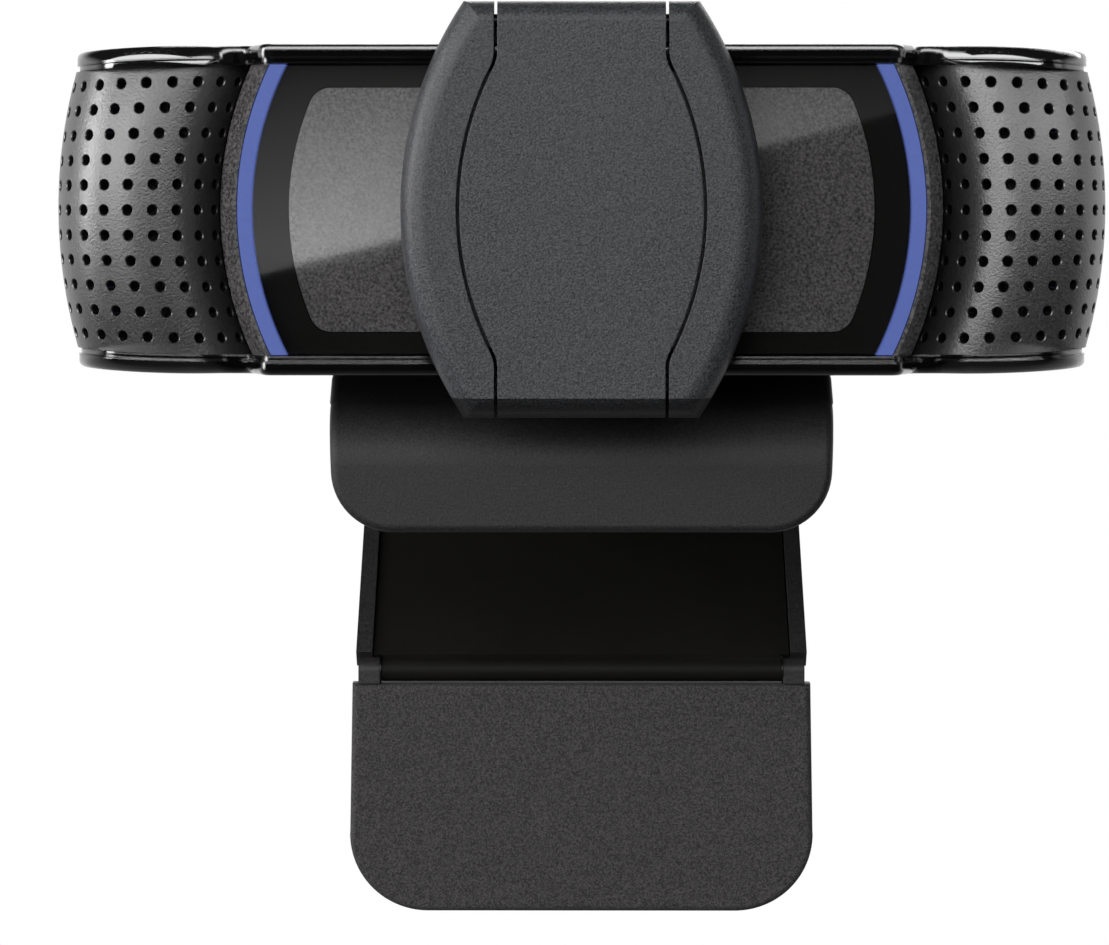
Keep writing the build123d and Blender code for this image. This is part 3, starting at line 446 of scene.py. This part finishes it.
def gridFaces(rows, columns, wrapRows, wrapColumns):
    # quads between neighbouring rows and columns of a grid, wrapped where the surface closes on itself
    r = np.arange(rows if wrapRows else rows - 1)
    c = np.arange(columns if wrapColumns else columns - 1)
    r, c = np.meshgrid(r, c, indexing="ij")
    nextR, nextC = (r + 1) % rows, (c + 1) % columns
    return np.stack([r * columns + c, r * columns + nextC, nextR * columns + nextC, nextR * columns + c], -1)


def lobeLean(turn, height):
    # height runs from -1 at the lower cover to 1 at the upper one, whose arcs fall away towards the end
    g = grille
    reach = g["lobeX"] - g["archX"] + g["radius"] * np.sin(turn)
    run = g["endX"] - g["blockHalf"]
    curve = (run ** 2 + g["endDrop"] ** 2) / (2 * g["endDrop"])
    top = np.full_like(reach, g["halfHeight"])
    for _ in range(3):  # the top and its place depend on each other, and settle in three rounds
        x = g["archX"] + np.sqrt(reach ** 2 - top ** 2)
        beyond = np.maximum(0.0, x - g["blockHalf"])
        top = g["halfHeight"] - (curve - np.sqrt(curve ** 2 - beyond ** 2))
    return np.arcsin(height * top / reach)


def lobePoint(turn, lean, depth):
    # a ring of the lobe's radius is swung about a level axis beside the middle, so the wall bows both ways:
    # x = axis + reach cos(lean), y = centre - (r - fall z z) cos(turn), z = reach sin(lean),
    # reach = lobe - axis + r sin(turn); the fall draws the front back above and below mid height
    g = grille
    r = g["radius"] - depth
    reach = g["lobeX"] - g["archX"] + r * np.sin(turn)
    z = reach * np.sin(lean)
    y = g["lobeY"] - (r - g["fall"] * z ** 2) * np.cos(turn)
    return np.stack([g["archX"] + reach * np.cos(lean), y, g["midZ"] + z], -1)


def grilleMesh():
    # each cell of the pattern is a run of rings: cell edge, a collar, the round hole's rim, its chamfer,
    # its wall and the cell edge behind
    g = grille
    n = g["perSide"]
    step = np.linspace(-1, 1, n, endpoint=False)
    one = np.ones(n)
    su = np.concatenate([step, one, -step, -one])
    sv = np.concatenate([-one, step, one, -step])
    angle = np.arctan2(sv, su)
    turns = g["firstColumn"] + g["columnPitch"] * np.arange(g["columns"])
    heights = (np.arange(g["rows"]) - (g["rows"] - 1) / 2) * g["rowPitch"] / g["halfHeight"]
    turnEdges = np.concatenate([[g["start"]], (turns[1:] + turns[:-1]) / 2, [g["end"]]])
    heightEdges = np.concatenate([[-1.0], (heights[1:] + heights[:-1]) / 2, [1.0]])
    tc, hc = np.meshgrid(turns, heights, indexing="ij")
    t0, h0 = np.meshgrid(turnEdges[:-1], heightEdges[:-1], indexing="ij")
    t1, h1 = np.meshgrid(turnEdges[1:], heightEdges[1:], indexing="ij")
    tc, hc, t0, t1, h0, h1 = (a[..., None] for a in (tc, hc, t0, t1, h0, h1))
    leanC = lobeLean(np.radians(tc), hc)
    reachC = g["lobeX"] - g["archX"] + g["radius"] * np.sin(np.radians(tc))
    edgeTurn = np.radians(tc + np.where(su > 0, su * (t1 - tc), su * (tc - t0)))
    edgeHeight = hc + np.where(sv > 0, sv * (h1 - hc), sv * (hc - h0))
    rings = []
    for size, depth in ((None, 0.0), (g["collar"], 0.0), (1.0 + g["rim"] / g["hole"], 0.0), (1.0, g["rim"]),
                        (1.0, g["wall"]), (None, g["wall"])):
        if size is None:
            rings.append(lobePoint(edgeTurn, lobeLean(edgeTurn, edgeHeight), depth))
        else:
            away = size * g["hole"]
            turn = np.radians(tc) + away * np.cos(angle) / g["radius"]
            rings.append(lobePoint(turn, leanC + away * np.sin(angle) / reachC, depth))
    points = np.stack(rings, 2)  # columns, rows, rings, points round the ring
    count = 4 * n
    cell = gridFaces(len(rings), count, False, True).reshape(-1, 4)
    offset = np.arange(g["columns"] * g["rows"]) * len(rings) * count
    faces = [(offset[:, None, None] + cell[None]).reshape(-1, 4)]
    # the outer border closes between the front and the back ring of the cells along it
    ids = np.arange(points[..., 0].size).reshape(points.shape[:-1])
    k = np.arange(n)
    for cells, first in ((ids[:, 0], 0), (ids[-1], n), (ids[:, -1], 2 * n), (ids[0], 3 * n)):
        a, b = (first + k) % count, (first + k + 1) % count
        front, back = cells[:, 0], cells[:, -1]
        faces.append(np.stack([front[:, a], front[:, b], back[:, b], back[:, a]], -1).reshape(-1, 4))
    return points, np.concatenate(faces)


grillePoints, grilleFaces = grilleMesh()
for side, sign in (("right", 1), ("left", -1)):
    newPiece("grille" + side.capitalize(), grillePoints * np.array([sign, 1, 1]), grilleFaces, "grilleGrey",
             "camera_head", "mic_grille_" + side, "grille_grey")


def slabMesh(front, back):
    # two grids of the same outline, joined by a wall along their border
    rows, columns = front.shape[:2]
    flat = gridFaces(rows, columns, False, False).reshape(-1, 4)
    ids = np.arange(rows * columns).reshape(rows, columns)
    loop = np.concatenate([ids[0, :-1], ids[:-1, -1], ids[-1, :0:-1], ids[:0:-1, 0]])
    ahead = np.roll(loop, -1)
    size = rows * columns
    wall = np.stack([loop, ahead, ahead + size, loop + size], -1)
    return np.stack([front, back]), np.concatenate([flat, flat + size, wall])


def closeSteps(count):
    # places from -1 to 1, closer together towards both ends
    return -np.cos(np.linspace(0, math.pi, count))


def rimRound(inside, radius):
    # how far a face sinks near its border for a rounded rim: a quarter circle of the given radius
    near = np.clip(radius - inside, 0, radius)
    return radius - np.sqrt(radius ** 2 - near ** 2)


def ribbedPad(pad):
    # a rounded rectangle; its gripping face has parallel grooves, a squared cosine cut to its crests,
    # inside a plain rim
    half, other = pad["half"]
    u = closeSteps(pad["columns"])[None, :] * half
    past = np.maximum(0.0, np.abs(u) - (half - pad["corner"]))
    reach = other - pad["corner"] + np.sqrt(np.maximum(0.0, pad["corner"] ** 2 - past ** 2))
    v = np.linspace(-1, 1, pad["rows"])[:, None] * reach
    u = np.broadcast_to(u, v.shape)
    inside = np.minimum(half - np.abs(u), reach - np.abs(v))
    crest = np.maximum(0.0, np.cos(2 * math.pi * v / pad["pitch"])) ** 2
    share = np.clip((inside - pad["plain"]) / pad["fade"], 0, 1)
    return u, v, rimRound(inside, pad["rim"]) + pad["groove"] * crest * share


seatPad = {"half": (19.0, 13.6), "corner": 3.0, "thickness": 1.0, "rim": 0.3, "groove": 0.25, "pitch": 1.7,
           "plain": 0.48, "fade": 0.8, "rows": 150, "columns": 44}
u, v, sink = ribbedPad(seatPad)
newPiece("seatPad", *slabMesh(np.stack([u, v, sink], -1), np.stack([u, v, 0 * u + seatPad["thickness"]], -1)),
         "gripBlack", "clip", "seat_pad", "soft_black")

lipPad = {"half": (19.7, 2.375), "corner": 1.2, "face": -16.9, "back": -17.7, "middle": -5.075, "rim": 0.25,
          "groove": 0.2, "pitch": 1.1, "plain": 0.48, "fade": 0.8, "rows": 60, "columns": 44}
u, v, sink = ribbedPad(lipPad)
newPiece("lipPad", *slabMesh(np.stack([u, lipPad["face"] - sink, v + lipPad["middle"]], -1),
                             np.stack([u, 0 * u + lipPad["back"], v + lipPad["middle"]], -1)),
         "gripBlack", "clip", "lip_pad", "soft_black")

footPad = {"top": -26.286, "bottom": -48.786, "halfTop": 22.5, "halfBottom": 22.9, "corner": 7.8,
           "face": 17.024, "back": 18.224, "rim": 0.55, "rows": 90, "columns": 90}


def footSheet():
    # half width grows straight from top to bottom, less a quarter circle at the two lower corners
    f = footPad
    z = (f["top"] + f["bottom"]) / 2 + (f["top"] - f["bottom"]) / 2 * closeSteps(f["rows"])[:, None]
    low = np.maximum(0.0, f["corner"] - (z - f["bottom"]))
    half = f["halfTop"] + (f["halfBottom"] - f["halfTop"]) * (f["top"] - z) / (f["top"] - f["bottom"])
    half = half - f["corner"] + np.sqrt(np.maximum(0.0, f["corner"] ** 2 - low ** 2))
    x = closeSteps(f["columns"])[None, :] * half
    z = np.broadcast_to(z, x.shape)
    # inside a round corner the border is measured along its radius
    overX = np.maximum(0.0, np.abs(x) - (f["halfBottom"] - f["corner"]))
    overZ = np.maximum(0.0, f["bottom"] + f["corner"] - z)
    straight = np.minimum(half - np.abs(x), np.minimum(f["top"] - z, z - f["bottom"]))
    inside = np.where(overX * overZ > 0, f["corner"] - np.hypot(overX, overZ), straight)
    return x, z, rimRound(np.maximum(inside, 0), f["rim"])


x, z, sink = footSheet()
newPiece("footPad", *slabMesh(np.stack([x, footPad["face"] + sink, z], -1),
                              np.stack([x, 0 * x + footPad["back"], z], -1)),
         "padGrey", "foot", "foot_pad", "foot_grey")


def turnedMesh(radius, along, origin, axis, columns, side=(1.0, 0.0, 0.0)):
    # a profile swept round an axis; the radius may change with the angle as well
    side = np.array(side)
    other = np.cross(axis, side)
    turn = np.linspace(0, 2 * math.pi, columns, endpoint=False)
    ring = np.cos(turn)[:, None] * side + np.sin(turn)[:, None] * other
    radius = np.broadcast_to(radius, (len(along), columns))[..., None]
    points = np.array(origin) + along[:, None, None] * np.array(axis) + radius * ring
    return points, gridFaces(len(along), columns, True, True)


thread = {"outer": 4.0, "minor": 2.55, "major": 3.17, "pitch": 1.27, "length": 4.5, "crest": 1.25,
          "slope": 3.2, "lead": 0.6, "chamfer": 0.2, "mouth": (0.0, 31.901, -16.981),
          "axis": (0.0, 0.747798, -0.663926), "rows": 64, "columns": 64}


def threadMesh():
    # the bore's radius is a ridge of slopes that climbs one pitch a turn, opening into a lead-in at the mouth
    t = thread
    depth = np.linspace(0, t["length"], t["rows"])
    turn = np.linspace(0, 1, t["columns"], endpoint=False)[None, :]
    phase = (depth[:, None] / t["pitch"] - turn) % 1.0
    ridge = np.clip(t["crest"] - np.abs(phase - 0.5) * t["slope"], 0, 1)
    lead = np.clip(t["lead"] - depth[:, None], 0, 1)
    bore = np.maximum(t["major"] - (t["major"] - t["minor"]) * ridge, t["minor"] + lead)
    wall = np.full((4, t["columns"]), t["outer"])
    wall[[0, 3]] -= t["chamfer"]
    along = -np.concatenate([depth, [t["length"], t["length"] - t["chamfer"], t["chamfer"], 0.0]])
    return turnedMesh(np.concatenate([bore, wall]), along, t["mouth"], t["axis"], t["columns"])


newPiece("threadInsert", *threadMesh(), "brass", "leg", "tripod_insert", "brass")

footPin = {"collar": 1.35, "inner": 19.66, "outer": 19.79, "core": 0.02, "columns": 48}
pinLow, pinHigh = (np.array(corner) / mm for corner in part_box("foot_pin"))
pinMiddle, pinRadius = (pinLow + pinHigh) / 2, (pinHigh[2] - pinLow[2]) / 2
# a plain rod with a thin collar in the gap at each side of the leg's knuckle
halfRod = np.array([(pinRadius, footPin["inner"]), (footPin["collar"], footPin["inner"]),
                    (footPin["collar"], footPin["outer"]), (pinRadius, footPin["outer"]),
                    (pinRadius, pinHigh[0]), (footPin["core"], pinHigh[0])])
rod = np.concatenate([halfRod[::-1] * np.array([1, -1]), halfRod])
newPiece("footPin", *turnedMesh(rod[:, :1], rod[:, 1], pinMiddle, (1.0, 0.0, 0.0), footPin["columns"],
                                (0.0, 1.0, 0.0)), "blackSteel", "leg", "foot_pin", "steel")

hood = {"centre": (0.0, -28.0, 20.15), "outer": 5.8, "mouth": 5.2, "throat": 3.4, "front": 1.4,
        "throatY": 6.4, "back": 8.0, "steps": 7, "columns": 96}
# light-trap stairs: each level stretch keeps its radius, then steps in to the next
stair = np.linspace(0, 1, hood["steps"] + 1)
stairRadius = np.repeat(hood["mouth"] + (hood["throat"] - hood["mouth"]) * stair, 2)
stairDepth = np.repeat(hood["front"] + (hood["throatY"] - hood["front"]) * stair, 2)[1:]
newPiece("lensHood", *turnedMesh(np.concatenate([[hood["outer"]] * 2, stairRadius])[:, None],
                                 np.concatenate([[hood["back"], hood["front"]], stairDepth, [hood["back"]]]),
                                 hood["centre"], (0.0, 1.0, 0.0), hood["columns"]),
         "hoodBlack", "camera_head", "lens_hood", "inner_black")

# pairs of radius and place along the axis, once round the lipped profile
gland = {"centre": (0.0, 0.0, 15.15), "columns": 72, "profile": [
    (2.0, -7.87), (3.0, -7.87), (3.2, -7.6), (3.2, -5.27), (4.1, -5.27), (4.1, -4.6), (4.04, -4.42),
    (3.93, -4.31), (3.75, -4.27), (3.4, -4.27), (3.3, -4.47), (3.1, -4.47), (3.0, -4.27), (2.45, -4.27),
    (2.2, -4.35), (2.06, -4.5), (2.0, -4.8), (2.0, -5.6), (2.12, -5.7), (2.12, -6.0), (2.0, -6.1),
    (2.0, -6.7), (2.12, -6.8), (2.12, -7.1), (2.0, -7.2)]}
glandProfile = np.array(gland["profile"])
newPiece("cableGland", *turnedMesh(glandProfile[:, :1], glandProfile[:, 1], gland["centre"], (0.0, 1.0, 0.0),
                                   gland["columns"]), "gripBlack", "camera_head", "cable_gland", "soft_black")

# place in millimetres, sensor as the lens in millimetres, clip in metres, the rest in pixels of the frame
view = {"place": (0.0, -420.0, 20.15), "focal": 4472.0, "frame": (1109.0, 945.0), "centre": (581.5, 210.0),
        "sensor": 36.0, "clip": (0.01, 50.0)}
lens = bpy.data.cameras.new("camera")
lens.sensor_width = view["sensor"]
lens.lens = view["focal"] / view["frame"][0] * view["sensor"]
lens.clip_start, lens.clip_end = view["clip"]
viewer = bpy.data.objects.new("camera", lens)
viewer.location = Vector(view["place"]) * mm
aside = (view["centre"][0] - view["frame"][0] / 2) / view["focal"]
below = (view["frame"][1] / 2 - view["centre"][1]) / view["focal"]
viewer.rotation_euler = Vector((-aside, 1.0, -below)).to_track_quat("-Z", "Y").to_euler()
bpy.context.scene.collection.objects.link(viewer)
bpy.context.scene.camera = viewer


def lightGroup(name, things, state):
    # the things that a lamp alone reaches (INCLUDE), or the ones that it leaves out (EXCLUDE)
    reached = bpy.data.collections.new(name)
    for thing in things:
        reached.objects.link(thing)
    for entry in reached.collection_objects:
        entry.light_linking.link_state = state
    return reached


# the polished covers would mirror the key as a white sheet from behind, so they have a lamp of their own,
# higher up, and the lobes have one on the right that evens out their two sides;
# places and sizes in metres, power in watts
coverParts = [parts[name] for name in dressing["coverBlack"]]
allButCovers = lightGroup("allButCovers", coverParts, "EXCLUDE")
lobeSides = [bpy.data.objects["grilleRight"], bpy.data.objects["grilleLeft"], parts["front_frame"]]
lamps = {
    "key": {"place": (-0.4, -0.95, 0.38), "size": (2.6, 0.36), "power": 9.0, "lights": allButCovers},
    "glint": {"place": (-0.15, -0.66, 0.72), "size": (4.0, 0.5), "power": 36.0,
              "lights": lightGroup("covers", coverParts, "INCLUDE")},
    "side": {"place": (0.95, -0.75, 0.42), "size": (1.1, 0.4), "power": 4.2,
             "lights": lightGroup("lobeSides", lobeSides, "INCLUDE")},
    "fill": {"place": (-0.6, -0.9, 0.0), "size": (0.8, 0.7), "power": 4.4, "lights": allButCovers},
    "left": {"place": (-0.9, -0.2, 0.16), "size": (0.2, 0.7), "power": 4.4},
    "right": {"place": (0.9, -0.1, 0.25), "size": (0.2, 0.5), "power": 0.3},
    "rear": {"place": (0.25, 0.8, 0.6), "size": (0.8, 0.5), "power": 5.0},
}
aim = Vector((0.0, 0.0, 0.0))
for lampName, lamp in lamps.items():
    light = bpy.data.lights.new(lampName, "AREA")
    light.shape = "RECTANGLE"
    light.size, light.size_y = lamp["size"]
    light.energy = lamp["power"]
    holder = bpy.data.objects.new(lampName, light)
    holder.location = lamp["place"]
    holder.rotation_euler = (aim - Vector(lamp["place"])).to_track_quat("-Z", "Y").to_euler()
    bpy.context.scene.collection.objects.link(holder)
    if "lights" in lamp:
        holder.light_linking.receiver_collection = lamp["lights"]

studio = {"fill": 0.05, "room": 0.02, "backdropFrom": -0.05, "backdropSpan": 0.3, "ceiling": 0.5,
          "ceilingSpan": 0.2, "floor": -0.1, "half": 4.0, "near": 0.12, "far": 0.3, "ground": 0.1,
          "groundRough": 0.9, "nearGlow": 0.68}
black, white = (0, 0, 0, 1), (1, 1, 1, 1)


def backdrop(spot):
    # grows from nothing beside the object to the full backdrop behind it
    return ((spot.axis(1) - studio["backdropFrom"]) / studio["backdropSpan"]).clamp()


sky = bpy.data.worlds.new("studio")
bpy.context.scene.world = sky
sky.use_nodes = True
ray = Wire(sky.node_tree).node("ShaderNodeTexCoord", out="Generated")
# a pale backdrop behind the object, a dim room before and above it
behind = backdrop(ray) * ((studio["ceiling"] - ray.axis(2)) / studio["ceilingSpan"]).clamp()
mirrored = ray.node("ShaderNodeLightPath", out="Is Glossy Ray")
shown = (ray.node("ShaderNodeLightPath", out="Is Camera Ray")
         + ray.node("ShaderNodeLightPath", out="Is Transmission Ray")).clamp()
mirror = mirrored * (behind * (1 - studio["room"]) + studio["room"])
level = shown + (1 - shown) * (mirror + (1 - mirrored) * studio["fill"])
ray.feed(sky.node_tree.nodes["Background"], {"Color": white, "Strength": level})

floorMesh = bpy.data.meshes.new("floor")
half = studio["half"]
corners = [(-half, -half), (half, -half), (half, half), (-half, half)]
floorMesh.from_pydata([(*corner, studio["floor"]) for corner in corners], [], [(0, 1, 2, 3)])
floor = bpy.data.objects.new("floor", floorMesh)
bpy.context.scene.collection.objects.link(floor)
floorFinish, spot, floorShader = newFinish("paleFloor")
away = spot.node("ShaderNodeVectorMath", {"operation": "LENGTH"}, {0: spot}, out=1)
pale = ((away - studio["near"]) / (studio["far"] - studio["near"])).clamp()
mirrored = spot.node("ShaderNodeLightPath", out="Is Glossy Ray") * backdrop(spot)
shown = (spot.node("ShaderNodeLightPath", out="Is Camera Ray") + mirrored
         + spot.node("ShaderNodeLightPath", out="Is Transmission Ray")).clamp()
glow = studio["nearGlow"] + pale * (1 - studio["nearGlow"])
ground = studio["ground"]
spot.feed(floorShader, {
    "Base Color": pale.blend((ground, ground, ground, 1), black), "Roughness": studio["groundRough"],
    "Specular IOR Level": 0.0, "Emission Strength": 1.0, "Emission Color": (shown * glow).blend(black, white),
})
floorMesh.materials.append(floorFinish)

# the card that the front glass mirrors: its lower edge is the slanted edge of the reflection
card = {"y": -1.0, "half": 0.14, "leftZ": -0.0102, "rightZ": 0.0611, "top": 0.13, "strength": 3.2,
        "sideFrom": -0.1, "sideFade": 2.0, "sideRange": (0.65, 1.0),
        "topLevel": 1.15, "topFade": 15.5, "topRange": (0.12, 1.2)}
cardMesh = bpy.data.meshes.new("card")
corners = [(-card["half"], card["leftZ"]), (card["half"], card["rightZ"]),
           (card["half"], card["top"]), (-card["half"], card["top"])]
cardMesh.from_pydata([(x, card["y"], z) for x, z in corners], [], [(0, 1, 2, 3)])
cardObject = bpy.data.objects.new("card", cardMesh)
bpy.context.scene.collection.objects.link(cardObject)
cardFinish, spot, cardShader = newFinish("glowCard")
sideways = (1.0 - (spot.axis(0) - card["sideFrom"]) * card["sideFade"]).clamp(*card["sideRange"])
upwards = (card["topLevel"] - spot.axis(2) * card["topFade"]).clamp(*card["topRange"])
spot.feed(cardShader, {
    "Base Color": black, "Specular IOR Level": 0.0, "Emission Strength": card["strength"],
    "Emission Color": (sideways * upwards).blend(black, white),
})
cardMesh.materials.append(cardFinish)
cardObject.visible_camera = cardObject.visible_diffuse = cardObject.visible_shadow = False
cardObject.visible_transmission = False
glazing = [parts["front_glass"], parts["window_backing"]]
cardObject.light_linking.receiver_collection = lightGroup("glazing", glazing, "INCLUDE")
print("studio ready")

bpy.context.scene.view_settings.view_transform = "Standard"
